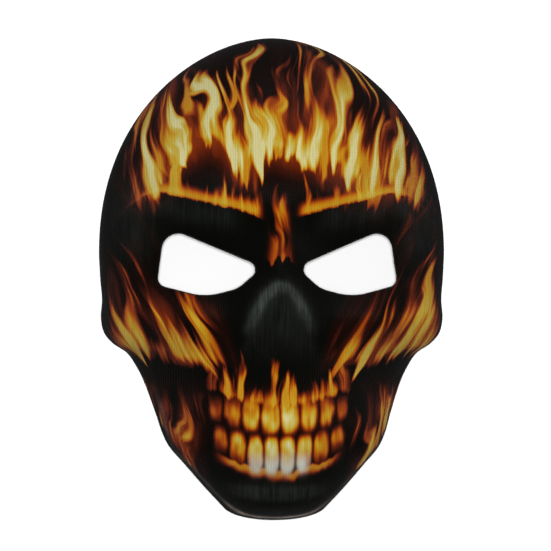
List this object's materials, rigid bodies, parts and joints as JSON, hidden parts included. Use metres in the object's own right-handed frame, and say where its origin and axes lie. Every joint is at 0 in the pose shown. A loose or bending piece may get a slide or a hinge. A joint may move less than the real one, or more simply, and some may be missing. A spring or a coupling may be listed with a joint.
{
  "type": "skull mask",
  "caption": "Full-face carnival skull mask: a thin moulded wall covered in printed knit fabric, open at the back, with cut eye openings.",
  "frame": {"origin": "under the middle of the mask's outline, on the plane that its rim rests on", "axes": "+X towards the right cheek as seen from the front, +Y towards the forehead, +Z out of the face"},
  "size_m": [0.1794, 0.248, 0.0849],
  "materials": {
    "printed_knit": "satin knit fabric, black with a flame print in red, orange and pale yellow, laminated on a stiff backing"
  },
  "bodies": {
    "root": {"mask_shell": "printed_knit"}
  },
  "joints": []
}
